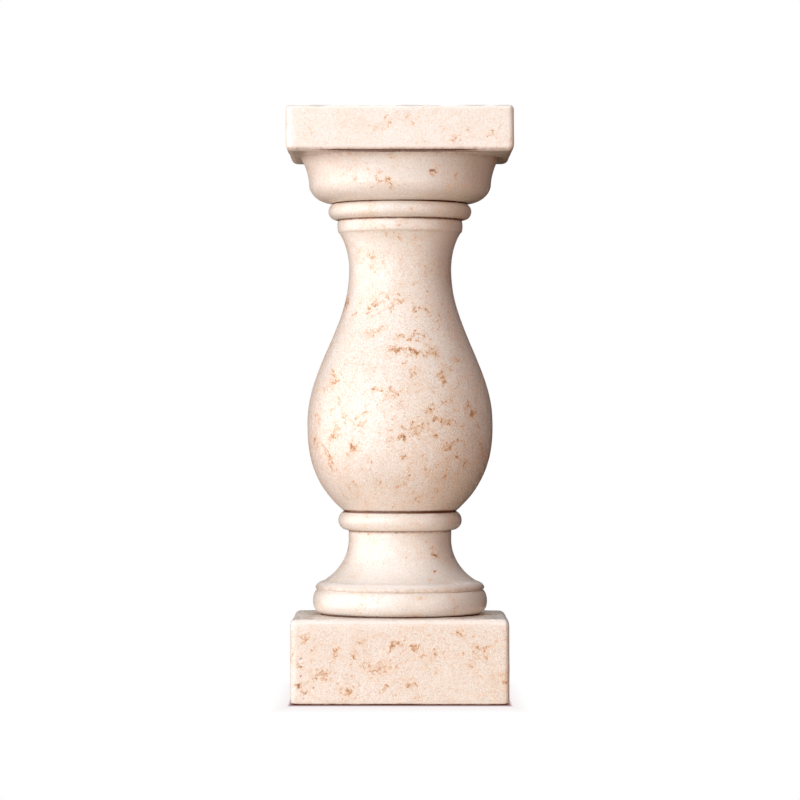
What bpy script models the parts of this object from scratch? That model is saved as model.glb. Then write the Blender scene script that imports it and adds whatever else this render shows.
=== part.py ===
"""A stone baluster carved from one block: a square plinth, a turned shaft and a square abacus.

Metres, +Z up. The origin is the centre of the plinth's underside, where the stone stands.
"""

import math

import bmesh
import bpy

MM = 0.001

# The square plinth stands out past the torus by its ledge. Its corners and edges are worn round.
PLINTH_HEIGHT = 87 * MM
PLINTH_LEDGE = 20.2 * MM
PLINTH_CORNER_RADIUS = 6 * MM
PLINTH_TOP_EDGE_RADIUS = 4.5 * MM
PLINTH_BOTTOM_EDGE_RADIUS = 3.5 * MM

# The square abacus overhangs the bell's lip. Its lower edge is the roundest.
ABACUS_HEIGHT = 46.5 * MM
ABACUS_OVERHANG = 12 * MM
ABACUS_CORNER_RADIUS = 7 * MM
ABACUS_TOP_EDGE_RADIUS = 3 * MM
ABACUS_BOTTOM_EDGE_RADIUS = 5.5 * MM

# A pull is how far a curve runs on in its end's own direction before it turns. It is a share of the curve's
# reach outwards and of its rise, or of its rise alone where that end is upright.

# The torus stands on a thin seat, and its shoulder tucks in under the nose.
TORUS_RADIUS = 91.2 * MM
SEAT_INSET = 8.5 * MM
SEAT_HEIGHT = 1 * MM
TORUS_SWELL_HEIGHT = 12.5 * MM
SHOULDER_INSET = 5.2 * MM
SHOULDER_HEIGHT = 12 * MM

# The nose is the rounded edge that the scotia ends in. It is undercut where it meets the torus.
NOSE_UNDERCUT = 4.7 * MM
NOSE_OVERHANG = 2.5 * MM
NOSE_INSET = 6.2 * MM
NOSE_HEIGHT = 9.2 * MM
NOSE_FOOT_PULL = 0.08
NOSE_TOP_PULL = 0.2

# The scotia is the hollow that narrows to the waist.
WAIST_RADIUS = 53.9 * MM
SCOTIA_HEIGHT = 44 * MM
SCOTIA_FOOT_PULL = (0.78, 0.29)
SCOTIA_TOP_PULL = 0.32
WAIST_HEIGHT = 9 * MM

# The ring under the belly stands out from the waist.
RING_STEP = 1.1 * MM
RING_PROJECTION = 9.7 * MM
RING_HEIGHT = 19.8 * MM
RING_GROOVE_DEPTH = 6.2 * MM

# The vase swells to the belly, narrows to the neck and opens by a cove to the bead.
BELLY_RADIUS = 97.2 * MM
NECK_RADIUS = 53.4 * MM
COVE_REACH = 10.2 * MM
BELLY_RISE = 89.5 * MM
NECK_RISE = 163 * MM
COVE_RISE = 38.5 * MM
VASE_FOOT_PULL = (0.9, 0.34)
BELLY_PULL_DOWN = 0.3
BELLY_PULL_UP = 0.38
NECK_PULL_DOWN = 0.38
NECK_PULL_UP = 0.22
COVE_TOP_PULL = (0.85, 0.32)

# The bead and the astragal are the two collars over the neck.
BEAD_PROJECTION = 2 * MM
BEAD_HEIGHT = 13.6 * MM
BEAD_GROOVE_DEPTH = 1.6 * MM
ASTRAGAL_STEP = 2 * MM
ASTRAGAL_PROJECTION = 9 * MM
ASTRAGAL_HEIGHT = 17.2 * MM
ASTRAGAL_GROOVE_DEPTH = 6.5 * MM

# The bell is a cushion, level where it leaves the astragal, that flares out again to meet the abacus.
CUSHION_REACH = 26.8 * MM
CUSHION_HEIGHT = 19.2 * MM
CUSHION_FOOT_PULL = 0.82
CUSHION_SIDE_PULL = 0.2
LIP_REACH = 8.7 * MM
LIP_HEIGHT = 28 * MM
LIP_FOOT_PULL = 0.25
LIP_TOP_PULL = (0.65, 0.3)

# The shaft runs this far into both square blocks, so that they join as one stone.
EMBEDDED = 12 * MM

SAME_POINT = 0.005 * MM

SIDES = 56
SWELL_STEPS = 4
SHOULDER_STEPS = 3
EDGE_STEPS = 3
SMOOTH_BELOW = math.radians(35)

STONE_COLOUR = (0.86, 0.74, 0.62, 1.0)
STONE_ROUGHNESS = 0.42


def half_round(foot, step_out, projection, rise, groove_depth, steps):
    """An ellipse that starts a step out from the last point, swells to its widest and closes on a groove."""
    core = foot[0] + step_out
    closing = math.acos(1 - groove_depth / projection)
    half_height = rise / (1 + math.sin(closing))
    points = []
    for step in range(steps + 1):
        angle = -math.pi / 2 + (closing + math.pi / 2) * step / steps
        radius = core + projection * math.cos(angle)
        points.append((radius, foot[1] + half_height * (1 + math.sin(angle))))
    return points


def sweep(start, start_pull, end_pull, end, steps):
    """A cubic Bezier curve between two (radius, height) points."""
    points = []
    for step in range(steps + 1):
        t = step / steps
        weights = ((1 - t) ** 3, 3 * t * (1 - t) ** 2, 3 * t * t * (1 - t), t**3)
        controls = (start, start_pull, end_pull, end)
        points.append(tuple(sum(w * c[axis] for w, c in zip(weights, controls)) for axis in (0, 1)))
    return points


def torus(foot):
    """Two quarter ellipses: the swell out from the thin seat, and the shoulder in to the nose."""
    seat_radius = TORUS_RADIUS - SEAT_INSET
    seat_top = foot[1] + SEAT_HEIGHT
    widest = seat_top + TORUS_SWELL_HEIGHT
    points = [(seat_radius, foot[1])]
    for step in range(SWELL_STEPS + 1):
        angle = math.pi / 2 * step / SWELL_STEPS
        radius = seat_radius + SEAT_INSET * math.sin(angle)
        points.append((radius, seat_top + TORUS_SWELL_HEIGHT * (1 - math.cos(angle))))
    for step in range(1, SHOULDER_STEPS + 1):
        angle = math.pi / 2 * step / SHOULDER_STEPS
        radius = TORUS_RADIUS - SHOULDER_INSET * (1 - math.cos(angle))
        points.append((radius, widest + SHOULDER_HEIGHT * math.sin(angle)))
    return points


def nose(foot):
    """Runs out over the torus's shoulder, then rounds back to the scotia's foot."""
    top = foot[1] + NOSE_HEIGHT
    return sweep(
        foot,
        (foot[0] + NOSE_UNDERCUT, foot[1] + NOSE_HEIGHT * NOSE_FOOT_PULL),
        (foot[0] + NOSE_OVERHANG, top - NOSE_HEIGHT * NOSE_TOP_PULL),
        (foot[0] - NOSE_INSET, top),
        6,
    )


def scotia(foot):
    """A hollow from a slope at its foot to the upright waist, then the waist itself."""
    top = foot[1] + SCOTIA_HEIGHT
    reach = foot[0] - WAIST_RADIUS
    hollow = sweep(
        foot,
        (foot[0] - reach * SCOTIA_FOOT_PULL[0], foot[1] + SCOTIA_HEIGHT * SCOTIA_FOOT_PULL[1]),
        (WAIST_RADIUS, top - SCOTIA_HEIGHT * SCOTIA_TOP_PULL),
        (WAIST_RADIUS, top),
        7,
    )
    return hollow + [(WAIST_RADIUS, top + WAIST_HEIGHT)]


def ring(foot):
    return half_round(foot, RING_STEP, RING_PROJECTION, RING_HEIGHT, RING_GROOVE_DEPTH, 8)


def vase(foot):
    """From the ring's groove out to the belly, in to the neck, and out by a cove to the bead."""
    belly = foot[1] + BELLY_RISE
    neck = belly + NECK_RISE
    top = neck + COVE_RISE
    reach = BELLY_RADIUS - foot[0]
    lower = sweep(
        foot,
        (foot[0] + reach * VASE_FOOT_PULL[0], foot[1] + BELLY_RISE * VASE_FOOT_PULL[1]),
        (BELLY_RADIUS, belly - BELLY_RISE * BELLY_PULL_DOWN),
        (BELLY_RADIUS, belly),
        7,
    )
    upper = sweep(
        (BELLY_RADIUS, belly),
        (BELLY_RADIUS, belly + NECK_RISE * BELLY_PULL_UP),
        (NECK_RADIUS, neck - NECK_RISE * NECK_PULL_DOWN),
        (NECK_RADIUS, neck),
        10,
    )
    cove_radius = NECK_RADIUS + COVE_REACH
    cove = sweep(
        (NECK_RADIUS, neck),
        (NECK_RADIUS, neck + COVE_RISE * NECK_PULL_UP),
        (cove_radius - COVE_REACH * COVE_TOP_PULL[0], top - COVE_RISE * COVE_TOP_PULL[1]),
        (cove_radius, top),
        5,
    )
    return lower + upper[1:] + cove[1:]


def bead(foot):
    return half_round(foot, 0, BEAD_PROJECTION, BEAD_HEIGHT, BEAD_GROOVE_DEPTH, 4)


def astragal(foot):
    return half_round(foot, ASTRAGAL_STEP, ASTRAGAL_PROJECTION, ASTRAGAL_HEIGHT, ASTRAGAL_GROOVE_DEPTH, 8)


def bell(foot):
    """The cushion over the astragal, then the lip that flares out to the abacus."""
    side_radius = foot[0] + CUSHION_REACH
    side = foot[1] + CUSHION_HEIGHT
    cushion = sweep(
        foot,
        (foot[0] + CUSHION_REACH * CUSHION_FOOT_PULL, foot[1]),
        (side_radius, side - CUSHION_HEIGHT * CUSHION_SIDE_PULL),
        (side_radius, side),
        6,
    )
    lip_radius = side_radius + LIP_REACH
    top = side + LIP_HEIGHT
    lip = sweep(
        (side_radius, side),
        (side_radius, side + LIP_HEIGHT * LIP_FOOT_PULL),
        (lip_radius - LIP_REACH * LIP_TOP_PULL[0], top - LIP_HEIGHT * LIP_TOP_PULL[1]),
        (lip_radius, top),
        4,
    )
    return cushion + lip[1:]


def shaft_outline():
    """The turned work's (radius, height) points from the plinth's top to the abacus's underside."""
    outline = [(0, PLINTH_HEIGHT)]
    for moulding in (torus, nose, scotia, ring, vase, bead, astragal, bell):
        foot = outline[-1]
        outline += [point for point in moulding(foot) if math.dist(point, foot) > SAME_POINT]
    return outline[1:]


def linked(name, mesh):
    piece = bpy.data.objects.new(name, mesh)
    bpy.context.scene.collection.objects.link(piece)
    return piece


def turned_shaft(name, outline):
    """Spins the outline round the axis and closes it with a stub inside each square block."""
    lowest = outline[0][1] - EMBEDDED
    highest = outline[-1][1] + EMBEDDED
    whole = [(0, lowest), (outline[0][0], lowest), *outline, (outline[-1][0], highest), (0, highest)]
    work = bmesh.new()
    row = [work.verts.new((radius, 0, height)) for radius, height in whole]
    edges = [work.edges.new(pair) for pair in zip(row, row[1:])]
    bmesh.ops.spin(
        work,
        geom=row + edges,
        axis=(0, 0, 1),
        cent=(0, 0, 0),
        angle=2 * math.pi,
        steps=SIDES,
        use_merge=True,
    )
    bmesh.ops.remove_doubles(work, verts=work.verts, dist=SAME_POINT)
    bmesh.ops.recalc_face_normals(work, faces=work.faces)
    mesh = bpy.data.meshes.new(name)
    work.to_mesh(mesh)
    work.free()
    return linked(name, mesh)


def square_block(name, foot, width, height, corner_radius, top_radius, bottom_radius):
    """A square slab with rounded upright corners, then rounded top and bottom edges."""
    work = bmesh.new()
    bmesh.ops.create_cube(work, size=1)
    for vertex in work.verts:
        vertex.co.x *= width
        vertex.co.y *= width
        vertex.co.z = foot + height * (vertex.co.z + 0.5)

    def level(edge, z):
        return all(abs(vertex.co.z - z) < SAME_POINT for vertex in edge.verts)

    def bevel(edges, radius):
        bmesh.ops.bevel(
            work,
            geom=edges,
            offset=radius,
            offset_type="OFFSET",
            segments=EDGE_STEPS,
            profile=0.5,
            affect="EDGES",
            clamp_overlap=True,
        )

    upright = [e for e in work.edges if abs(e.verts[0].co.z - e.verts[1].co.z) > height / 2]
    bevel(upright, corner_radius)
    bevel([e for e in work.edges if level(e, foot + height)], top_radius)
    bevel([e for e in work.edges if level(e, foot)], bottom_radius)
    mesh = bpy.data.meshes.new(name)
    work.to_mesh(mesh)
    work.free()
    return linked(name, mesh)


def join(stone, block):
    """Unites the stone with a block, which stays as a hidden guide."""
    block.hide_render = True
    block.display_type = "WIRE"
    union = stone.modifiers.new("with_" + block.name, "BOOLEAN")
    union.operation = "UNION"
    union.solver = "EXACT"
    union.object = block


def cream_stone():
    material = bpy.data.materials.new("cream_limestone")
    material.use_nodes = True
    shader = material.node_tree.nodes["Principled BSDF"]
    shader.inputs["Base Color"].default_value = STONE_COLOUR
    shader.inputs["Roughness"].default_value = STONE_ROUGHNESS
    shader.inputs["Metallic"].default_value = 0.0
    return material


def main():
    for old in list(bpy.data.objects):
        bpy.data.objects.remove(old, do_unlink=True)

    outline = shaft_outline()
    lip_radius, lip_top = outline[-1]
    baluster = turned_shaft("baluster", outline)
    plinth = square_block(
        "plinth_block",
        0,
        2 * (TORUS_RADIUS + PLINTH_LEDGE),
        PLINTH_HEIGHT,
        PLINTH_CORNER_RADIUS,
        PLINTH_TOP_EDGE_RADIUS,
        PLINTH_BOTTOM_EDGE_RADIUS,
    )
    abacus = square_block(
        "abacus_block",
        lip_top,
        2 * (lip_radius + ABACUS_OVERHANG),
        ABACUS_HEIGHT,
        ABACUS_CORNER_RADIUS,
        ABACUS_TOP_EDGE_RADIUS,
        ABACUS_BOTTOM_EDGE_RADIUS,
    )
    stone = cream_stone()
    for piece in (baluster, plinth, abacus):
        piece.data.materials.append(stone)
        piece.data.shade_smooth()
        piece.data.set_sharp_from_angle(angle=SMOOTH_BELOW)
    join(baluster, plinth)
    join(baluster, abacus)


main()
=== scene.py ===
"""The looks of a turned stone baluster: a square plinth, a vase-shaped shaft and a square abacus.

The stone is one closed surface on a grid. Its rows go from the middle of the underside, up the outside, to
the middle of the top. Its columns go round the stone from the +X side. Lengths are in millimetres up to the
point where the mesh is made.
"""

import math

import bpy
import numpy as np
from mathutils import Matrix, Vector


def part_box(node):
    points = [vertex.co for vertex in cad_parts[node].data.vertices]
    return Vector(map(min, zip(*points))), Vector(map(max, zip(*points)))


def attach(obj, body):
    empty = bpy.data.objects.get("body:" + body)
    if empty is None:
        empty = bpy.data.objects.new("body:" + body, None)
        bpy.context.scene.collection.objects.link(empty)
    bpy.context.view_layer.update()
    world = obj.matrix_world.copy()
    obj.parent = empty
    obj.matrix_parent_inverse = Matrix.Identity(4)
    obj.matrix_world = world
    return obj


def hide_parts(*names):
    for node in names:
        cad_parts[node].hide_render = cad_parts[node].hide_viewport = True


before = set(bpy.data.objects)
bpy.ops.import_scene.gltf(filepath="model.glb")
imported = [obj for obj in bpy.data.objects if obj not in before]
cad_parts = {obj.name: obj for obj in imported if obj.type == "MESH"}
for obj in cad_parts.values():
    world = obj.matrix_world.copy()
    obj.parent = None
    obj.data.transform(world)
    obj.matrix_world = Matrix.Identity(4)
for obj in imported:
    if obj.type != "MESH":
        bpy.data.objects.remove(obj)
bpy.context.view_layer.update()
_, stone_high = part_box("baluster")

MM = 0.001
SEED = 41

# The two square blocks. The abacus is the widest part and its top is the stone's top.
STONE_HEIGHT = stone_high.z / MM
ABACUS_HALF = stone_high.x / MM
ABACUS_HEIGHT = 46.5
ABACUS_CORNER = 7
ABACUS_TOP_ARRIS = 3
ABACUS_BOTTOM_ARRIS = 5.5
PLINTH_HALF = 111.4
PLINTH_HEIGHT = 87
PLINTH_CORNER = 6
PLINTH_TOP_ARRIS = 4.5
PLINTH_BOTTOM_ARRIS = 3.5
SMALLEST_CORNER = 1

# The turned shaft's radii and levels, which are the solid's own.
SEAT_RADIUS = 82.7
SEAT_LEVEL = 88
TORUS_RADIUS = 91.2
TORUS_LEVEL = 100.5
SHOULDER_RADIUS = 86
SHOULDER_LEVEL = 112.5
NOSE_UNDERCUT = 4.7
NOSE_OVERHANG = 2.5
SCOTIA_FOOT_RADIUS = 79.8
SCOTIA_FOOT_LEVEL = 121.7
WAIST_RADIUS = 53.9
WAIST_LEVEL = 165.7
RING_LEVEL = 174.7
RING_CORE = 55
RING_REACH = 9.7
RING_GROOVE = 58.5
VASE_LEVEL = 194.5
BELLY_RADIUS = 97.2
BELLY_LEVEL = 284
NECK_RADIUS = 53.4
NECK_LEVEL = 447
COVE_RADIUS = 63.6
BEAD_LEVEL = 485.5
BEAD_REACH = 2
BEAD_GROOVE = 64
ASTRAGAL_LEVEL = 499.1
ASTRAGAL_CORE = 66
ASTRAGAL_REACH = 9
ASTRAGAL_GROOVE = 68.5
BELL_LEVEL = 516.3
BELL_RADIUS = 95.3
BELL_SIDE_LEVEL = 535.5
LIP_RADIUS = 104
SOFFIT_LEVEL = STONE_HEIGHT - ABACUS_HEIGHT

# The nose's pulls up from its foot and down from its top, as shares of its rise.
NOSE_LOW_PULL = 0.08
NOSE_HIGH_PULL = 0.2

# The swept curves: their steps, how much the steps crowd towards the ends, and the pulls at the foot and at
# the top. A pull is a share of the curve's run out and a share of its rise.
CURVES = {
    "scotia": (17, 0, (0.78, 0.29), (0, 0.32)),
    "vase_low": (30, 0.3, (0.9, 0.34), (0, 0.3)),
    "vase_high": (44, 0, (0, 0.38), (0, 0.38)),
    "cove": (13, 0.4, (0, 0.22), (0.85, 0.32)),
    "cushion": (16, 0.5, (0.82, 0), (0, 0.2)),
    "lip": (12, 0.6, (0, 0.25), (0.65, 0.3)),
}

# The steps of the other mouldings, of the blocks and of the flat ledge and soffit.
SEAT_STEPS = 1
TORUS_LOW_STEPS = 13
TORUS_HIGH_STEPS = 9
NOSE_STEPS = 10
WAIST_STEPS = 3
RING_STEPS = 18
BEAD_STEPS = 9
ASTRAGAL_STEPS = 17
ARRIS_STEPS = 6
PLINTH_FACE_STEPS = 27
ABACUS_FACE_STEPS = 15
FLAT_STEPS = 7

# The rows on the two beds, from the middle out, as shares of a bed's half width.
BED_ROWS = (0.25, 0.6, 0.9)

# Columns in one quarter of the way round: half a side, a corner, and the next half side. The share says how
# much a side's columns are drawn in towards its corners.
SIDE_COLUMNS = 33
CORNER_COLUMNS = 16
QUARTER_COLUMNS = 2 * SIDE_COLUMNS + CORNER_COLUMNS
COLUMNS = 4 * QUARTER_COLUMNS
DRAWN_IN = 0.3

# The four quarters of the way round, as turns of the first one.
QUARTER_TURNS = (
    ((1, 0), (0, 1)),
    ((0, 1), (-1, 0)),
    ((-1, 0), (0, -1)),
    ((0, -1), (1, 0)),
)

# Dirt and painted shade in the crevices and under the overhangs: radius, level, how dark it is, and how far
# it spreads out and up. The band under the nose and the wide one under the lip are painted shade alone.
ROUND_CREVICE_DIRT_AND_SHADE = (
    (SEAT_RADIUS, PLINTH_HEIGHT, 1.4, 0.6, 0.6),
    (SHOULDER_RADIUS + 1.5, SHOULDER_LEVEL + 2.3, 0.2, 2.3, 2.3),
    (RING_CORE, RING_LEVEL, 0.5, 1.6, 1.6),
    (RING_GROOVE, VASE_LEVEL, 0.9, 1.6, 1.6),
    (BEAD_GROOVE + 1, ASTRAGAL_LEVEL, 0.6, 1.4, 1.4),
    (ASTRAGAL_GROOVE, BELL_LEVEL, 1.3, 1.3, 1.3),
    (LIP_RADIUS, SOFFIT_LEVEL, 0.2, 4, 4),
)

# The painted shadow under the abacus, where the lip comes near its front: the lesser of a line by radius and
# one by depth from the axis, in the same terms.
LIP_SHADOW_BY_RADIUS = (
    (LIP_RADIUS + 4, SOFFIT_LEVEL + 0.7, 2.2, 16, 0.45),
)
LIP_SHADOW_BY_DEPTH = (
    (ABACUS_HALF - 6, SOFFIT_LEVEL + 0.7, 2.2, 12, 0.45),
)

# The same on the blocks, by half width: painted shade on the underside of the abacus's lower arris, and a
# painted contact shadow along the plinth's foot.
BLOCK_PAINTED_SHADE = (
    (ABACUS_HALF - 2.5, SOFFIT_LEVEL + 2.5, 0.28, 2.2, 2.2),
    (PLINTH_HALF - 2.4, 0, 1.0, 1.2, 1.2),
)

# Painted highlights, in the same terms: light on the top of the nose, and on the plinth's ledge by half
# width.
ROUND_PAINTED_HIGHLIGHTS = (
    (84.5, 120.5, 1, 2.2, 2.2),
)
BLOCK_PAINTED_HIGHLIGHTS = (
    (PLINTH_HALF - 6, PLINTH_HEIGHT, 0.8, 6, 6),
)

# The far corners of the plinth's top and of the abacus's underside, which have worn away most: across, back,
# level, depth and spread.
WORN_CORNERS = (
    (-111, 111, 87, 4, 22),
    (111, 111, 87, 4, 22),
    (-115, 115, 564, 3, 15),
    (115, 115, 564, 3, 15),
)

# The unevenness of hand work: the height, size and seed of each noise.
UNEVENNESS = (
    (0.28, 55, 1),
    (0.14, 19, 2),
    (0.07, 7, 3),
)

# The wear of the blocks' edges: everywhere, in bites, and as a fine noise, the last two with size and seed.
WEAR = 0.25
WEAR_BITES = (0.55, 16, 4)
WEAR_GRAIN = (
    (0.2, 6, 5),
)

# How strongly a turn of the surface counts as an edge, and how far past a block a level still counts as its.
ARRIS_GAIN = 12
BLOCK_MARGIN = 0.5

# A point this near to the bottom or the top lies on a bed, which stays flat.
BED_MARGIN = 0.01

# Ochre stains on the front: across from the axis, level, spread and strength. A vein is a short row of them.
ABACUS_STAINS = (
    (-87, 583, 4, 0.5), (-50, 574, 3, 0.4), (-27, 584, 3, 0.7), (-16, 585, 3, 0.8),
    (7, 598, 7, 0.5), (14, 594, 5, 0.6), (55, 579, 6, 0.5), (70, 583, 4, 0.7), (76, 576, 5, 0.4),
    (97, 589, 9, 0.5), (94, 573, 8, 0.5),
)
BELL_STAINS = (
    (-45, 536, 4, 0.6), (-21, 545, 4, 0.6), (-12, 535, 4, 1.0), (-11, 529, 3, 0.8),
    (33, 546, 4, 1.2), (58, 542, 3, 0.8), (48, 526, 3, 0.9), (-5, 502, 4, 0.6), (0, 495, 4, 0.8),
)
NECK_STAINS = (
    (1, 478, 6, 0.8), (-27, 471, 4, 0.6), (-36, 464, 3, 0.7), (-29, 457, 3.5, 0.6), (-15, 462, 3, 0.7),
    (-12, 454, 3, 0.7), (0, 454, 4, 0.8), (-26, 447, 4, 0.6), (3, 442, 3, 0.7), (3, 429, 3, 0.7),
    (28, 424, 3, 1.2), (34, 451, 4, 0.7), (-27, 408, 7, 1.0), (-8, 411, 6, 0.8), (4, 411, 4, 0.8),
    (18, 401, 6, 0.8), (30, 403, 4, 0.6),
)
BELLY_STAINS = (
    (-5, 375, 4, 0.7), (14, 376, 6, 0.8), (28, 377, 4, 0.7), (7, 347, 3, 0.7), (11, 340, 3, 0.8),
    (46, 330, 4, 0.6), (-69, 338, 4, 1.0), (-66, 332, 3, 1.0), (-70, 324, 4, 0.9), (-64, 309, 4, 0.7),
    (-69, 301, 4, 0.9), (-27, 322, 3, 0.7), (-19, 322, 4, 0.8), (-11, 319, 4, 0.8), (-2, 317, 3, 1.3),
    (-14, 311, 4, 0.7), (-1, 305, 5, 0.7), (28, 296, 4, 0.9), (35, 300, 5, 0.9), (46, 310, 4, 0.6),
    (74, 296, 3, 1.2), (63, 320, 4, 0.6), (14, 286, 6, 1.2), (19, 281, 5, 1.0), (37, 273, 4, 0.7),
    (55, 269, 4, 0.7), (-64, 286, 5, 0.8), (-56, 294, 4, 0.8), (-66, 278, 4, 0.7), (-71, 271, 4, 0.8),
    (-41, 284, 5, 0.7), (-44, 293, 4, 0.6), (-85, 294, 4, 0.8), (-49, 262, 4, 0.7), (-74, 252, 4, 0.9),
    (-71, 243, 4, 0.8), (-56, 252, 4, 0.7), (-29, 249, 4, 0.7), (6, 252, 3, 1.0), (-7, 259, 4, 0.6),
    (48, 259, 4, 0.9), (42, 265, 4, 0.8), (49, 251, 4, 0.9), (67, 243, 5, 0.9), (67, 268, 4, 0.7),
    (23, 242, 4, 0.7), (9, 229, 4, 0.7), (34, 219, 4, 0.8), (-41, 219, 4, 0.7), (58, 252, 3, 0.8),
    (78, 318, 3, 0.7), (70, 308, 3, 0.8), (82, 284, 3, 0.8), (66, 282, 3, 0.8), (76, 262, 3, 0.7),
    (58, 232, 3, 0.8),
)
SCOTIA_STAINS = (
    (36, 149, 3, 1.2), (36, 133, 3, 1.3), (31, 158, 5, 0.7), (-46, 148, 4, 0.6), (6, 100, 3, 0.7),
)
PLINTH_STAINS = (
    (-7, 61, 3.5, 0.7), (0, 64, 3, 0.7), (14, 58, 3.5, 1.3), (22, 51, 3, 1.0), (61, 73, 4, 0.9),
    (48, 62, 4, 0.6), (62, 50, 3, 0.7), (82, 56, 6, 0.8), (-48, 50, 4, 1.1), (-65, 57, 5, 0.8),
    (-71, 36, 3, 1.0), (-83, 31, 5, 1.0), (-76, 29, 5, 1.3), (-49, 13, 4, 1.4), (-58, 16, 5, 0.7),
    (-15, 14, 4, 0.9), (-15, 22, 3, 0.6), (11, 20, 5, 0.8), (38, 38, 4, 0.5), (79, 10, 4, 0.8),
    (-88, 52, 5, 0.5), (-95, 70, 5, 0.5), (-61, 46, 4, 0.6), (-40, 66, 5, 0.4), (-30, 28, 6, 0.4),
    (-101, 40, 2.5, 1.1), (-102, 22, 3, 1.1), (-96, 12, 2.5, 1.2), (-92, 19, 2.5, 0.9),
)
VEINS = (
    ((-9, 362), (39, 356), 3, 0.9),
    ((37, 288), (62, 286), 2.5, 0.9),
    ((-18, 272), (5, 272), 2.5, 0.9),
    ((-16, 221), (-3, 222), 2.5, 0.9),
    ((-36, 38), (-7, 39), 3.5, 0.8),
    ((-12, 55), (2, 64), 2.5, 0.7),
)
VEIN_STEP = 4
VEIN_WANDER = 1.5

# Dark pits on the front: across, level, radius, and how dark and deep. One of strength 1 is PIT_DEPTH deep.
PIT_DEPTH = 0.35
FRONT_PITS = (
    (31, 547, 1.7, 1.0), (35, 546, 1.5, 1.0), (58, 542, 1.1, 0.8), (28, 424, 1.3, 0.9),
    (-2, 317, 1.2, 0.9), (74, 296, 1.3, 0.9), (36, 149, 1.4, 0.9), (36, 133, 1.6, 1.0),
    (-101, 46, 1.7, 1.0), (-102, 38, 1.2, 0.8), (-101, 29, 1.6, 1.0), (-102, 22, 1.7, 1.1),
    (-103, 17, 1.4, 0.9), (-89, 17, 1.5, 1.0), (-97, 12, 1.6, 1.0), (-98, 7, 1.3, 0.8),
)

# The stains and pits of the back and sides: how many, and the ranges of their spread and strength.
OTHER_STAINS = 150
OTHER_STAIN_SPREADS = (3, 7)
OTHER_STAIN_STRENGTHS = (0.5, 1.2)
OTHER_PITS = 26
OTHER_PIT_RADII = (1.8, 3)
OTHER_PIT_STRENGTHS = (0.7, 1.4)

# Where those lie: this far from the ends, behind this depth, and round to this angle past the sides. A grid
# point's miss of a place is counted in steps of this level and of this angle.
END_MARGIN = 2
BACK_DEPTH = -30
PAST_SIDES = 0.35
LEVEL_MISS = 4
ANGLE_MISS = 0.03

# No stain is stronger than this, and a bell curve ends at this many spreads.
STRONGEST_STAIN = 1.1
BELL_SPREADS = 4

# The stretches that have weathered most: lowest and highest level, fade at the ends, and how much. The last
# value is how much stain the weather adds.
WEATHERED = (
    (0, 90, 3, 1.0),
    (200, 400, 8, 1.1),
    (400, 470, 20, 0.6),
)
WEATHERED_STAIN = 0.15


def joined(*stretches):
    """Stretches of outline end to end, each without its first point where the last one ended there."""
    outline = [stretches[0]]
    for stretch in stretches[1:]:
        meets = np.allclose(stretch[0], outline[-1][-1])
        outline.append(stretch[1:] if meets else stretch)
    return np.vstack(outline)


def straight(start, end, steps):
    """Evenly spaced (radius, level) points from start to end."""
    share = np.linspace(0, 1, steps + 1)[:, None]
    return np.asarray(start) * (1 - share) + np.asarray(end) * share


def sweep(start, start_pull, end_pull, end, steps, crowding=0.0):
    """A cubic Bezier curve: the two ends and the two pulls, weighted by the Bernstein polynomials.

    Crowding, from 0 to 1, draws the points towards both ends.
    """
    t = np.linspace(0, 1, steps + 1)[:, None]
    t = t - crowding * np.sin(2 * math.pi * t) / (2 * math.pi)
    weights = ((1 - t) ** 3, 3 * t * (1 - t) ** 2, 3 * t * t * (1 - t), t**3)
    points = (start, start_pull, end_pull, end)
    return sum(weight * np.asarray(point, float) for weight, point in zip(weights, points))


def curve(name, start, end):
    """A named sweep between two (radius, level) points, its pulls worked out as shares of the way between."""
    steps, crowding, foot_pull, top_pull = CURVES[name]
    start = np.array(start, float)
    end = np.array(end, float)
    way = end - start
    return sweep(start, start + way * foot_pull, end - way * top_pull, end, steps, crowding)


def half_round(foot, top, core, reach, groove, steps):
    """An ellipse about the core radius, from its lowest point out and up to where it meets the groove."""
    closing = math.acos((groove - core) / reach)
    half_height = (top - foot) / (1 + math.sin(closing))
    angle = np.linspace(-math.pi / 2, closing, steps + 1)
    return np.column_stack((core + reach * np.cos(angle), foot + half_height * (1 + np.sin(angle))))


def quarter_round(centre, reach, rise, start, end, steps):
    """Part of an ellipse about a centre, between two angles in degrees above the outward direction."""
    angle = np.radians(np.linspace(start, end, steps + 1))
    return np.column_stack((centre[0] + reach * np.cos(angle), centre[1] + rise * np.sin(angle)))


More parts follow.
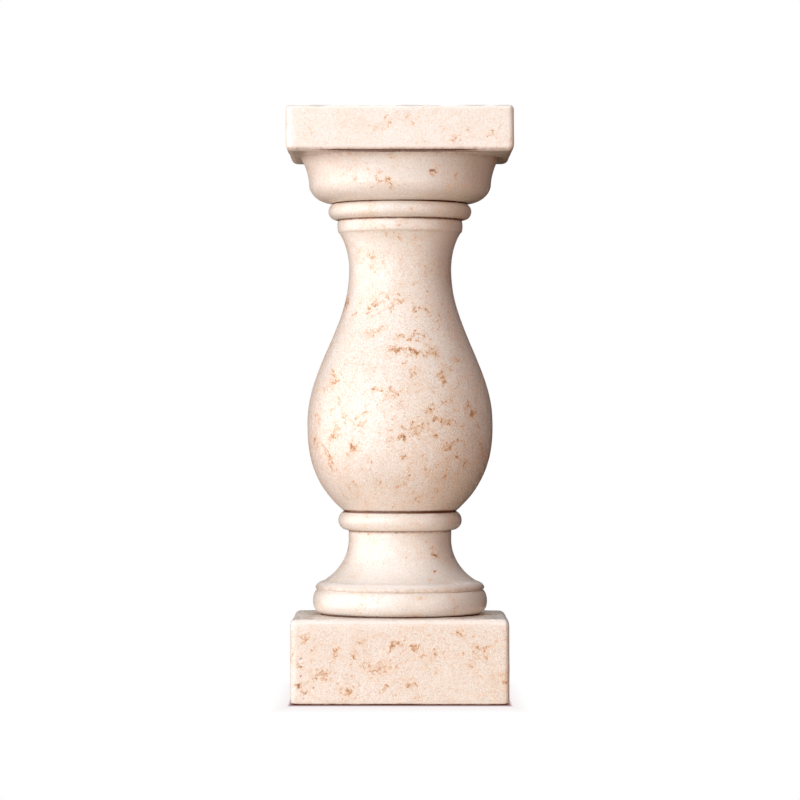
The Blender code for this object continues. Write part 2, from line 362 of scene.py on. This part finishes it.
def shaft_outline():
    """The turned mouldings from the plinth's top to the abacus's underside, as (radius, level)."""
    seat = straight((SEAT_RADIUS, PLINTH_HEIGHT), (SEAT_RADIUS, SEAT_LEVEL), SEAT_STEPS)
    reach = TORUS_RADIUS - SEAT_RADIUS
    rise = TORUS_LEVEL - SEAT_LEVEL
    torus_low = quarter_round((SEAT_RADIUS, TORUS_LEVEL), reach, rise, -90, 0, TORUS_LOW_STEPS)
    reach = TORUS_RADIUS - SHOULDER_RADIUS
    rise = SHOULDER_LEVEL - TORUS_LEVEL
    torus_high = quarter_round((SHOULDER_RADIUS, TORUS_LEVEL), reach, rise, 0, 90, TORUS_HIGH_STEPS)
    rise = SCOTIA_FOOT_LEVEL - SHOULDER_LEVEL
    nose = sweep(
        (SHOULDER_RADIUS, SHOULDER_LEVEL),
        (SHOULDER_RADIUS + NOSE_UNDERCUT, SHOULDER_LEVEL + rise * NOSE_LOW_PULL),
        (SHOULDER_RADIUS + NOSE_OVERHANG, SCOTIA_FOOT_LEVEL - rise * NOSE_HIGH_PULL),
        (SCOTIA_FOOT_RADIUS, SCOTIA_FOOT_LEVEL),
        NOSE_STEPS,
    )
    scotia = curve("scotia", (SCOTIA_FOOT_RADIUS, SCOTIA_FOOT_LEVEL), (WAIST_RADIUS, WAIST_LEVEL))
    waist = straight((WAIST_RADIUS, WAIST_LEVEL), (WAIST_RADIUS, RING_LEVEL), WAIST_STEPS)
    ring = half_round(RING_LEVEL, VASE_LEVEL, RING_CORE, RING_REACH, RING_GROOVE, RING_STEPS)
    vase_low = curve("vase_low", (RING_GROOVE, VASE_LEVEL), (BELLY_RADIUS, BELLY_LEVEL))
    vase_high = curve("vase_high", (BELLY_RADIUS, BELLY_LEVEL), (NECK_RADIUS, NECK_LEVEL))
    cove = curve("cove", (NECK_RADIUS, NECK_LEVEL), (COVE_RADIUS, BEAD_LEVEL))
    bead = half_round(BEAD_LEVEL, ASTRAGAL_LEVEL, COVE_RADIUS, BEAD_REACH, BEAD_GROOVE, BEAD_STEPS)
    astragal = half_round(
        ASTRAGAL_LEVEL, BELL_LEVEL, ASTRAGAL_CORE, ASTRAGAL_REACH, ASTRAGAL_GROOVE, ASTRAGAL_STEPS
    )
    cushion = curve("cushion", (ASTRAGAL_GROOVE, BELL_LEVEL), (BELL_RADIUS, BELL_SIDE_LEVEL))
    lip = curve("lip", (BELL_RADIUS, BELL_SIDE_LEVEL), (LIP_RADIUS, SOFFIT_LEVEL))
    foot = (seat, torus_low, torus_high, nose, scotia, waist, ring)
    head = (cove, bead, astragal, cushion, lip)
    return joined(*foot, vase_low, vase_high, *head)


def block_outline(half, foot, top, bottom_arris, top_arris, face_steps):
    """A block's outside: the lower arris, the upright face and the upper arris, as (half width, level)."""
    low = (half - bottom_arris, foot + bottom_arris)
    lower = quarter_round(low, bottom_arris, bottom_arris, -90, 0, ARRIS_STEPS)
    high = (half - top_arris, top - top_arris)
    upper = quarter_round(high, top_arris, top_arris, 0, 90, ARRIS_STEPS)
    face = straight(lower[-1], upper[0], face_steps)
    return joined(lower, face, upper)


def round_columns(radius):
    """A row that is a circle: the points at equal angles."""
    angle = np.arange(COLUMNS) * 2 * math.pi / COLUMNS
    return radius * np.column_stack((np.cos(angle), np.sin(angle)))


def square_columns(half, corner):
    """A row that is a square with round corners, its columns drawn in towards the corners.

    One quarter goes up the +X side, round the corner and back along the +Y side. The other three are that
    quarter turned.
    """
    share = np.arange(SIDE_COLUMNS) / SIDE_COLUMNS
    along = (half - corner) * ((1 - DRAWN_IN) * share + DRAWN_IN * np.sin(share * math.pi / 2))
    side = np.column_stack((np.full(SIDE_COLUMNS, half), along))
    angle = np.linspace(0, math.pi / 2, CORNER_COLUMNS + 1)
    bend = (half - corner) + corner * np.column_stack((np.cos(angle), np.sin(angle)))
    back = side[:0:-1, ::-1]
    quarter = np.vstack((side, bend, back))
    return np.vstack([quarter @ np.array(turn) for turn in QUARTER_TURNS])


def stone_rows():
    """Every row from the underside to the top, as a (rows, columns, 3) grid in millimetres.

    A block's row is a round-cornered square, and a shaft's row is a circle. On the ledge and on the soffit,
    which are flat, a row is a mix of the two that goes from one to the other.
    """
    plinth = block_outline(
        PLINTH_HALF, 0, PLINTH_HEIGHT, PLINTH_BOTTOM_ARRIS, PLINTH_TOP_ARRIS, PLINTH_FACE_STEPS
    )
    abacus = block_outline(
        ABACUS_HALF, SOFFIT_LEVEL, STONE_HEIGHT, ABACUS_BOTTOM_ARRIS, ABACUS_TOP_ARRIS, ABACUS_FACE_STEPS
    )
    rows = []

    def add(outline, level):
        rows.append(np.column_stack((outline, np.full(COLUMNS, level))))

    def add_bed(half, corner, level, shares):
        for share in shares:
            add(square_columns(half * share, corner * share), level)

    def add_block(outline, half, corner):
        for width, level in outline:
            inset = half - width
            add(square_columns(width, max(corner - inset, SMALLEST_CORNER)), level)

    def add_flat(half, corner, radius, level, outwards):
        share = 0.5 - 0.5 * np.cos(np.linspace(0, math.pi, FLAT_STEPS + 1)[1:-1])
        for mix in share if outwards else 1 - share:
            add(square_columns(half, corner) * mix + round_columns(radius) * (1 - mix), level)

    add_bed(plinth[0][0], PLINTH_CORNER, 0, BED_ROWS)
    add_block(plinth, PLINTH_HALF, PLINTH_CORNER)
    add_flat(plinth[-1][0], PLINTH_CORNER - PLINTH_TOP_ARRIS, SEAT_RADIUS, PLINTH_HEIGHT, False)
    for radius, level in shaft_outline():
        add(round_columns(radius), level)
    add_flat(abacus[0][0], ABACUS_CORNER - ABACUS_BOTTOM_ARRIS, LIP_RADIUS, SOFFIT_LEVEL, True)
    add_block(abacus, ABACUS_HALF, ABACUS_CORNER)
    add_bed(abacus[-1][0], ABACUS_CORNER, STONE_HEIGHT, BED_ROWS[::-1])
    return np.array(rows)


def grid_normals(grid):
    """Unit normals: the cross product of the ways along the row and up the column, through each point."""
    along = np.roll(grid, -1, axis=1) - np.roll(grid, 1, axis=1)
    up = np.gradient(grid, axis=0)
    normal = np.cross(along, up)
    return normal / np.linalg.norm(normal, axis=2, keepdims=True)


def lattice_noise(points, cell, seed):
    """Smooth noise from -1 to 1: random values at the corners of cubes, blended by eased shares of a cube."""
    scaled = (points - points.min(axis=0)) / cell
    corner = np.floor(scaled).astype(int)
    part = scaled - corner
    ease = part * part * (3 - 2 * part)
    values = np.random.default_rng(seed).uniform(-1, 1, corner.max(axis=0) + 2)
    total = np.zeros(len(points))
    for step in np.ndindex(2, 2, 2):
        weight = np.abs(1 - np.array(step) - ease).prod(axis=1)
        x, y, z = (corner + step).T
        total += weight * values[x, y, z]
    return total


def noise_sum(points, noises):
    """The sum of noises, each of its own height, size and seed."""
    return sum(height * lattice_noise(points, size, seed) for height, size, seed in noises)


def bumps(points, centres, spreads, heights):
    """The sum of bell curves about the centres, each with its own spread and height."""
    total = np.zeros(len(points))
    for centre, spread, height in zip(centres, spreads, heights):
        near = np.abs(points[:, 2] - centre[2]) < BELL_SPREADS * spread
        distance = ((points[near] - centre) ** 2).sum(axis=1)
        total[near] += height * np.exp(-distance / (2 * spread * spread))
    return total


def front_point(across, level, grid):
    """The grid point on the front of the stone that is nearest to that distance across and that level."""
    flat = grid.reshape(-1, 3)
    front = flat[flat[:, 1] < 0]
    nearest = ((front[:, 0] - across) ** 2 + (front[:, 2] - level) ** 2).argmin()
    return front[nearest]


def other_points(count, rng, grid):
    """Random points of the outside of the stone that are not on its front."""
    flat = grid.reshape(-1, 3)
    highest = STONE_HEIGHT - END_MARGIN
    away = flat[(flat[:, 1] > BACK_DEPTH) & (flat[:, 2] > END_MARGIN) & (flat[:, 2] < highest)]
    levels = rng.uniform(END_MARGIN, highest, count)
    angles = rng.uniform(-PAST_SIDES, math.pi + PAST_SIDES, count)
    azimuth = np.arctan2(away[:, 1], away[:, 0])
    points = []
    for level, angle in zip(levels, angles):
        turn = np.angle(np.exp(1j * (azimuth - angle)))
        miss = ((away[:, 2] - level) / LEVEL_MISS) ** 2 + (turn / ANGLE_MISS) ** 2
        points.append(away[miss.argmin()])
    return np.array(points)


def marked(grid, rng, marks, count, spreads, strengths):
    """Bell curves at the front's marks, and at a count of scattered ones of random spread and strength."""
    centres = [front_point(across, level, grid) for across, level, _, _ in marks]
    centres += list(other_points(count, rng, grid))
    widths = [spread for _, _, spread, _ in marks] + list(rng.uniform(*spreads, count))
    heights = [strength for _, _, _, strength in marks] + list(rng.uniform(*strengths, count))
    return bumps(grid.reshape(-1, 3), centres, widths, heights)


def stain_field(grid, rng):
    """How stained each point is: the marks of the stains, and those of the veins, which wander in level."""
    marks = list(ABACUS_STAINS + BELL_STAINS + NECK_STAINS + BELLY_STAINS + SCOTIA_STAINS + PLINTH_STAINS)
    for (x0, z0), (x1, z1), spread, strength in VEINS:
        steps = max(2, round(math.hypot(x1 - x0, z1 - z0) / VEIN_STEP))
        for share in np.linspace(0, 1, steps):
            wander = rng.uniform(-VEIN_WANDER, VEIN_WANDER)
            marks.append((x0 + (x1 - x0) * share, z0 + (z1 - z0) * share + wander, spread, strength))
    stain = marked(grid, rng, marks, OTHER_STAINS, OTHER_STAIN_SPREADS, OTHER_STAIN_STRENGTHS)
    return np.minimum(stain, STRONGEST_STAIN)


def line_field(out, level, lines):
    """How close each point is to any of the lines: bell curves of its distance out and up from the line."""
    nearness = np.zeros(len(out))
    for at_out, at_level, strength, width, height in lines:
        distance = ((out - at_out) / width) ** 2 + ((level - at_level) / height) ** 2
        nearness = np.maximum(nearness, strength * np.exp(-distance / 2))
    return nearness


def weathered_field(level):
    """How weathered the stone is at each level: the amount of its stretch, with a ramp at each end of it."""
    total = np.zeros(len(level))
    for low, high, fade, amount in WEATHERED:
        inside = np.clip((level - low) / fade + 0.5, 0, 1) * np.clip((high - level) / fade + 0.5, 0, 1)
        total = np.maximum(total, amount * inside)
    return total


def arris_field(grid):
    """How near each point is to a block's edge: how sharply the surface turns along its row or its column."""
    normal = grid_normals(grid)
    turn_along = 1 - (np.roll(normal, 1, axis=1) * np.roll(normal, -1, axis=1)).sum(axis=2)
    padded = np.pad(normal, ((1, 1), (0, 0), (0, 0)), mode="edge")
    turn_up = 1 - (padded[2:] * padded[:-2]).sum(axis=2)
    level = grid[:, :, 2]
    on_block = (level < PLINTH_HEIGHT + BLOCK_MARGIN) | (level > SOFFIT_LEVEL - BLOCK_MARGIN)
    return (np.clip(np.maximum(turn_along, turn_up) * ARRIS_GAIN, 0, 1) * on_block).ravel()


def carved_baluster():
    """The whole stone: the grid of rows, moved along its normals by the unevenness, the wear and the pits."""
    rng = np.random.default_rng(SEED)
    grid = stone_rows()
    normal = grid_normals(grid).reshape(-1, 3)
    flat = grid.reshape(-1, 3)
    radius = np.hypot(flat[:, 0], flat[:, 1])
    half_width = np.abs(flat[:, :2]).max(axis=1)
    depth = np.abs(flat[:, 1])
    level = flat[:, 2]
    arris = arris_field(grid)
    weathered = weathered_field(level)
    stain = stain_field(grid, rng) + WEATHERED_STAIN * weathered
    pit = marked(grid, rng, FRONT_PITS, OTHER_PITS, OTHER_PIT_RADII, OTHER_PIT_STRENGTHS)
    # The line under the abacus is a painted shadow.
    lip_shadow = np.minimum(
        line_field(radius, level, LIP_SHADOW_BY_RADIUS),
        line_field(depth, level, LIP_SHADOW_BY_DEPTH),
    )
    # Dirt and painted shade, gathered from all the crevice lines.
    crevice_dirt_and_shade = np.maximum.reduce((
        lip_shadow,
        line_field(radius, level, ROUND_CREVICE_DIRT_AND_SHADE),
        line_field(half_width, level, BLOCK_PAINTED_SHADE),
    ))
    # Paleness at the blocks' edges is wear and a painted highlight; on the nose top and the ledge it is
    # painted highlight alone.
    rubbed_and_painted_highlight = np.maximum.reduce((
        arris,
        line_field(radius, level, ROUND_PAINTED_HIGHLIGHTS),
        line_field(half_width, level, BLOCK_PAINTED_HIGHLIGHTS),
    ))

    corners = np.array(WORN_CORNERS, float)
    chipped = bumps(flat, corners[:, :3], corners[:, 4], corners[:, 3])
    bite, bite_size, bite_seed = WEAR_BITES
    bites = bite * np.clip(lattice_noise(flat, bite_size, bite_seed), 0, 1)
    worn = arris * (WEAR + bites + noise_sum(flat, WEAR_GRAIN))
    out = noise_sum(flat, UNEVENNESS) - worn - PIT_DEPTH * pit - chipped
    moved = flat + normal * out[:, None]
    moved[:, 2] = np.clip(moved[:, 2], 0, STONE_HEIGHT)
    bed = (level < BED_MARGIN) | (level > STONE_HEIGHT - BED_MARGIN)
    moved[bed, 2] = level[bed]
    fields = {"stain": stain, "pit": pit, "crevice_dirt_and_shade": crevice_dirt_and_shade, "arris": rubbed_and_painted_highlight, "weathered": weathered}
    return closed_grid("carved_baluster", moved.reshape(grid.shape), fields)


def closed_grid(name, grid, fields):
    """A closed mesh from a grid in millimetres: quads between the rows, and a fan of triangles at each end.

    Each field becomes an attribute of the mesh, with nothing at the two middles.
    """
    rows, columns, _ = grid.shape
    under = grid[0].mean(axis=0)
    over = grid[-1].mean(axis=0)
    points = np.vstack((grid.reshape(-1, 3), under, over)) * MM
    row, column = np.meshgrid(np.arange(rows - 1), np.arange(columns), indexing="ij")
    after = (column + 1) % columns
    low = row * columns
    high = low + columns
    quads = np.stack((low + column, low + after, high + after, high + column), axis=-1).reshape(-1, 4)
    here = np.arange(columns)
    there = (here + 1) % columns
    low_fan = np.stack((there, here, np.full(columns, rows * columns)), axis=-1)
    top = (rows - 1) * columns
    high_fan = np.stack((top + here, top + there, np.full(columns, rows * columns + 1)), axis=-1)
    corners = np.concatenate((quads.ravel(), low_fan.ravel(), high_fan.ravel()))
    sizes = np.concatenate((np.full(len(quads), 4), np.full(2 * columns, 3)))
    starts = np.concatenate(((0,), np.cumsum(sizes)[:-1]))
    mesh = bpy.data.meshes.new(name)
    mesh.vertices.add(len(points))
    mesh.vertices.foreach_set("co", points.astype(np.float32).ravel())
    mesh.loops.add(len(corners))
    mesh.loops.foreach_set("vertex_index", corners.astype(np.int32))
    mesh.polygons.add(len(sizes))
    mesh.polygons.foreach_set("loop_start", starts.astype(np.int32))
    mesh.update(calc_edges=True)
    mesh.validate()
    for field, values in fields.items():
        layer = mesh.attributes.new(field, "FLOAT", "POINT")
        layer.data.foreach_set("value", np.append(values, (0, 0)).astype(np.float32))
    mesh.shade_smooth()
    piece = bpy.data.objects.new(name, mesh)
    bpy.context.scene.collection.objects.link(piece)
    return piece


def linear(hex_colour):
    """An sRGB hex colour as linear red, green, blue and alpha."""
    channels = [int(hex_colour[i : i + 2], 16) / 255 for i in (0, 2, 4)]
    return tuple(c / 12.92 if c <= 0.04045 else ((c + 0.055) / 1.055) ** 2.4 for c in channels) + (1.0,)


def add_node(tree, kind, sockets, **properties):
    """Adds a shader node, sets its properties, and gives each socket a value or a link from an output."""
    node = tree.nodes.new(kind)
    for name, value in properties.items():
        setattr(node, name, value)
    for name, value in sockets.items():
        if isinstance(value, bpy.types.NodeSocket):
            tree.links.new(value, node.inputs[name])
        else:
            node.inputs[name].default_value = value
    return node


# A Mix node names its sockets alike for every kind of value, so those for colours go by their places.
MIX_SHARE = 0
MIX_UNDER = 6
MIX_OVER = 7
MIX_RESULT = 2

# The stone's noises: size in millimetres, detail, roughness and distortion.
NOISES = {
    "drift": (90, 3, 0.5, 0.0),
    "cloud": (24, 5, 0.62, 0.8),
    "fleck": (6.0, 7, 0.8, 0.4),
    "speck": (2.4, 4, 0.8, 0.0),
    "grit": (1.2, 3, 0.6, 0.0),
    "thread": (11, 5, 0.6, 0.6),
}

# The mesh's own values, and those worked out: a value times a number or a value, plus a number or a value.
FIELDS = ("stain", "pit", "crevice_dirt_and_shade", "arris", "weathered")
MIXES = (
    ("offset", "thread", 1, -0.5),
    ("thin", "offset", "offset", 0),
    ("crowd", "cloud", 0.5, "fleck"),
    ("reach", "stain", 0.16, "crowd"),
    ("grained", "speck", 0.5, "reach"),
    ("threaded", "thin", -60, "reach"),
    ("peppered", "speck", 0.9, "threaded"),
    ("dotted", "weathered", 0.05, "speck"),
    ("dusted", "weathered", 0.05, "grit"),
    # The seam: dirt and painted shade in the crevices.
    ("seam_dirt_and_shade", "fleck", 0.9, "crevice_dirt_and_shade"),
    ("hollow", "speck", 0.8, "pit"),
    # The rubbed edges: wear and painted highlights.
    ("wear_and_painted_highlight", "speck", 0.8, "arris"),
    ("relief", "speck", 0.6, "grit"),
)

# Colours laid over the ground: which value, where it starts, where it is full, how strong, which colour.
GROUND = "f0e9df"
LAYERS = (
    ("drift", 0.36, 0.64, 0.7, "e9dfd0"),
    ("cloud", 0.5, 0.72, 0.35, "e4c8aa"),
    ("dotted", 0.56, 0.7, 0.45, "d2ae8c"),
    ("speck", 0.46, 0.3, 0.45, "fffdf8"),
    ("dusted", 0.57, 0.7, 0.4, "d0aa88"),
    ("grit", 0.46, 0.32, 0.4, "fffefa"),
    ("grained", 1.04, 1.25, 0.45, "e2be94"),
    ("grained", 1.16, 1.27, 0.5, "ce9c66"),
    ("threaded", 0.8, 0.89, 0.6, "d4a371"),
    ("threaded", 0.87, 0.95, 0.75, "b97e45"),
    ("peppered", 1.44, 1.5, 0.8, "8d5d32"),
    # Rubbed wear and painted highlight on the edges.
    ("wear_and_painted_highlight", 0.55, 1.2, 0.5, "fffaf3"),
    ("hollow", 0.9, 1.3, 0.85, "965422"),
    # Dirt and painted shade: an ochre halo and a dark seam.
    ("crevice_dirt_and_shade", 0.04, 0.6, 0.7, "c0875a"),
    ("seam_dirt_and_shade", 0.62, 1.0, 0.95, "603014"),
)

# The sealed stone's gloss. Its roughness goes from clean to stained as the grained value does.
STONE_IOR = 1.6
STONE_SPECULAR = 0.7
CLEAN_ROUGHNESS = 0.14
STAINED_ROUGHNESS = 0.36
CLEAN_GRAINED = 0.8
STAINED_GRAINED = 1.3

# The relief of the grain: how strongly it tilts the light, and its depth in millimetres.
RELIEF_STRENGTH = 0.7
RELIEF_DEPTH = 0.48


def honed_limestone():
    """Cream limestone, turned, honed and sealed: a low sheen over a pale ground flecked with ochre.

    The ground drifts between two creams over about 90 mm. Pale and brown grains of 1 to 2 mm lie in it, more
    of the brown where the stone has weathered. Ochre gathers in ragged flecks of 1 to 4 mm and in thin
    threads, which crowd together where the stain or the cloud noise is high and hold a few brown specks.
    Crevices have an ochre halo about a dark seam, both dirt and painted shade, the pits are dark, and the
    arrises are rubbed pale and lit by a painted highlight. The stone is rougher where it is stained.
    """
    material = bpy.data.materials.new("honed_cream_limestone")
    material.use_nodes = True
    tree = material.node_tree
    tree.nodes.clear()
    place = add_node(tree, "ShaderNodeTexCoord", {}).outputs["Object"]
    value = {}
    for name, (size, detail, roughness, distortion) in NOISES.items():
        sockets = {
            "Vector": place,
            "Scale": 1 / (size * MM),
            "Detail": detail,
            "Roughness": roughness,
            "Distortion": distortion,
        }
        value[name] = add_node(tree, "ShaderNodeTexNoise", sockets).outputs["Fac"]
    for name in FIELDS:
        value[name] = add_node(tree, "ShaderNodeAttribute", {}, attribute_name=name).outputs["Fac"]
    for name, first, factor, added in MIXES:
        sockets = {0: value[first], 1: value.get(factor, factor), 2: value.get(added, added)}
        value[name] = add_node(tree, "ShaderNodeMath", sockets, operation="MULTIPLY_ADD").outputs["Value"]

    colour = linear(GROUND)
    for name, low, high, strength, over in LAYERS:
        sockets = {"Value": value[name], "From Min": low, "From Max": high, "To Max": strength}
        share = add_node(tree, "ShaderNodeMapRange", sockets).outputs["Result"]
        sockets = {MIX_SHARE: share, MIX_UNDER: colour, MIX_OVER: linear(over)}
        colour = add_node(tree, "ShaderNodeMix", sockets, data_type="RGBA").outputs[MIX_RESULT]

    sockets = {
        "Value": value["grained"],
        "From Min": CLEAN_GRAINED,
        "From Max": STAINED_GRAINED,
        "To Min": CLEAN_ROUGHNESS,
        "To Max": STAINED_ROUGHNESS,
    }
    roughness = add_node(tree, "ShaderNodeMapRange", sockets).outputs["Result"]
    sockets = {"Height": value["relief"], "Strength": RELIEF_STRENGTH, "Distance": RELIEF_DEPTH * MM}
    normal = add_node(tree, "ShaderNodeBump", sockets).outputs["Normal"]
    sockets = {
        "Base Color": colour,
        "Roughness": roughness,
        "Normal": normal,
        "IOR": STONE_IOR,
        "Specular IOR Level": STONE_SPECULAR,
    }
    surface = add_node(tree, "ShaderNodeBsdfPrincipled", sockets).outputs["BSDF"]
    add_node(tree, "ShaderNodeOutputMaterial", {"Surface": surface})
    return material


# The camera stands level with the belly, as far back as the photograph's perspective asks.
PHOTO_SIZE_PX = 800
FOCAL_PX = 3500
CAMERA_BACK = 3667
HORIZON_PX = 414
CAMERA_LEVEL = 296
SENSOR_MM = 36


def camera():
    """The photograph's camera. It is pitched so that its level falls on the photograph's horizon line."""
    data = bpy.data.cameras.new("camera")
    data.sensor_width = SENSOR_MM
    data.lens = SENSOR_MM * FOCAL_PX / PHOTO_SIZE_PX
    seen = bpy.data.objects.new("camera", data)
    seen.location = (0, -CAMERA_BACK * MM, CAMERA_LEVEL * MM)
    pitch = math.atan((HORIZON_PX - PHOTO_SIZE_PX / 2) / FOCAL_PX)
    seen.rotation_euler = (math.pi / 2 + pitch, 0, 0)
    bpy.context.scene.collection.objects.link(seen)
    bpy.context.scene.camera = seen


# The floor's half width in metres, its shade where the plinth stands on it, and how the shade fades to white
# with the distance from the axis. To the sides it fades faster than in front by this factor.
FLOOR_HALF = 12
SIDE_FADE = 5
CONTACT_SHADE = "8c6468"
CONTACT_FADES = (
    (111, 127, "f8f0f1"),
    (127, 200, "ffffff"),
)

# The softboxes: name, azimuth, elevation, distance, width, height, power, colour, and whether it shines.
# Angles are in degrees and lengths in metres. The strip gives the stone its highlight, and the ones that
# don't shine only colour its shade. All face one level on the stone's axis.
SOFTBOXES = (
    ("strip", -38, 9, 1.9, 0.5, 2.0, 32, "f0f6ff", True),
    ("left", -95, 5, 1.9, 1.0, 1.8, 26, "ffe8e2", True),
    ("front", 25, 12, 2.4, 0.7, 1.6, 13, "fff8f3", True),
    ("right_front", 36, 14, 2.4, 0.8, 1.6, 6, "ffb4a4", False),
    ("right", 66, 8, 2.4, 1.0, 1.6, 2, "ff7c74", False),
    ("top_front", 10, 60, 2.0, 1.0, 0.8, 9, "ffffff", True),
    ("top_right", 50, 58, 2.0, 1.2, 1.2, 2, "fff4f4", True),
    ("below", -25, -50, 1.8, 1.4, 1.4, 7, "ffbc7c", False),
    ("below_front", 10, -30, 2.0, 1.0, 0.8, 6.5, "fff0e0", True),
    ("behind", 178, 40, 2.6, 0.8, 0.8, 18, "ffffff", True),
)
AIM_LEVEL = 0.3


def softbox(name, azimuth, elevation, distance, width, height, power, colour, shines):
    """A rectangle of light facing the middle of the stone. Azimuth 0 is the camera's side, and +X is right.

    One that doesn't shine lights the stone and isn't mirrored in its sheen.
    """
    data = bpy.data.lights.new(name, "AREA")
    data.shape = "RECTANGLE"
    data.size = width
    data.size_y = height
    data.energy = power
    data.color = linear(colour)[:3]
    lamp = bpy.data.objects.new(name, data)
    turn = math.radians(azimuth)
    tilt = math.radians(elevation)
    away = np.array((math.sin(turn) * math.cos(tilt), -math.cos(turn) * math.cos(tilt), math.sin(tilt)))
    lamp.location = away * distance + np.array((0, 0, AIM_LEVEL))
    lamp.rotation_euler = (math.pi / 2 - tilt, 0, turn)
    lamp.visible_glossy = shines
    bpy.context.scene.collection.objects.link(lamp)


def white_paper():
    """White studio paper that glows evenly, with a mauve-brown shade only close around the plinth's foot."""
    paper = bpy.data.materials.new("white_paper")
    paper.use_nodes = True
    tree = paper.node_tree
    tree.nodes.clear()
    place = add_node(tree, "ShaderNodeTexCoord", {}).outputs["Object"]
    aside = add_node(tree, "ShaderNodeVectorMath", {0: place}, operation="ABSOLUTE").outputs["Vector"]
    parts = add_node(tree, "ShaderNodeSeparateXYZ", {"Vector": aside}).outputs
    sockets = {0: parts["X"], 1: SIDE_FADE, 2: (1 - SIDE_FADE) * PLINTH_HALF * MM}
    side = add_node(tree, "ShaderNodeMath", sockets, operation="MULTIPLY_ADD").outputs["Value"]
    sockets = {0: side, 1: parts["Y"]}
    away = add_node(tree, "ShaderNodeMath", sockets, operation="MAXIMUM").outputs["Value"]
    colour = linear(CONTACT_SHADE)
    for low, high, over in CONTACT_FADES:
        sockets = {"Value": away, "From Min": low * MM, "From Max": high * MM}
        share = add_node(tree, "ShaderNodeMapRange", sockets).outputs["Result"]
        sockets = {MIX_SHARE: share, MIX_UNDER: colour, MIX_OVER: linear(over)}
        colour = add_node(tree, "ShaderNodeMix", sockets, data_type="RGBA").outputs[MIX_RESULT]
    glow = add_node(tree, "ShaderNodeEmission", {"Color": colour}).outputs["Emission"]
    add_node(tree, "ShaderNodeOutputMaterial", {"Surface": glow})
    return paper


def studio():
    """A white floor and surround that light nothing and throw no shadow, and the softboxes."""
    mesh = bpy.data.meshes.new("floor")
    corners = [(x * FLOOR_HALF, y * FLOOR_HALF, 0) for x, y in ((-1, -1), (1, -1), (1, 1), (-1, 1))]
    mesh.from_pydata(corners, [], [(0, 1, 2, 3)])
    floor = bpy.data.objects.new("floor", mesh)
    bpy.context.scene.collection.objects.link(floor)
    floor.visible_diffuse = False
    floor.visible_glossy = False
    floor.visible_shadow = False
    mesh.materials.append(white_paper())

    world = bpy.data.worlds.new("surround")
    world.use_nodes = True
    background = world.node_tree.nodes["Background"]
    background.inputs["Color"].default_value = (1, 1, 1, 1)
    background.inputs["Strength"].default_value = 1
    world.cycles_visibility.diffuse = False
    world.cycles_visibility.glossy = False
    bpy.context.scene.world = world

    for settings in SOFTBOXES:
        softbox(*settings)
    bpy.context.scene.view_settings.view_transform = "Standard"


stone = carved_baluster()
stone.data.materials.append(honed_limestone())
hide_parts("baluster")
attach(stone, "root")
camera()
studio()
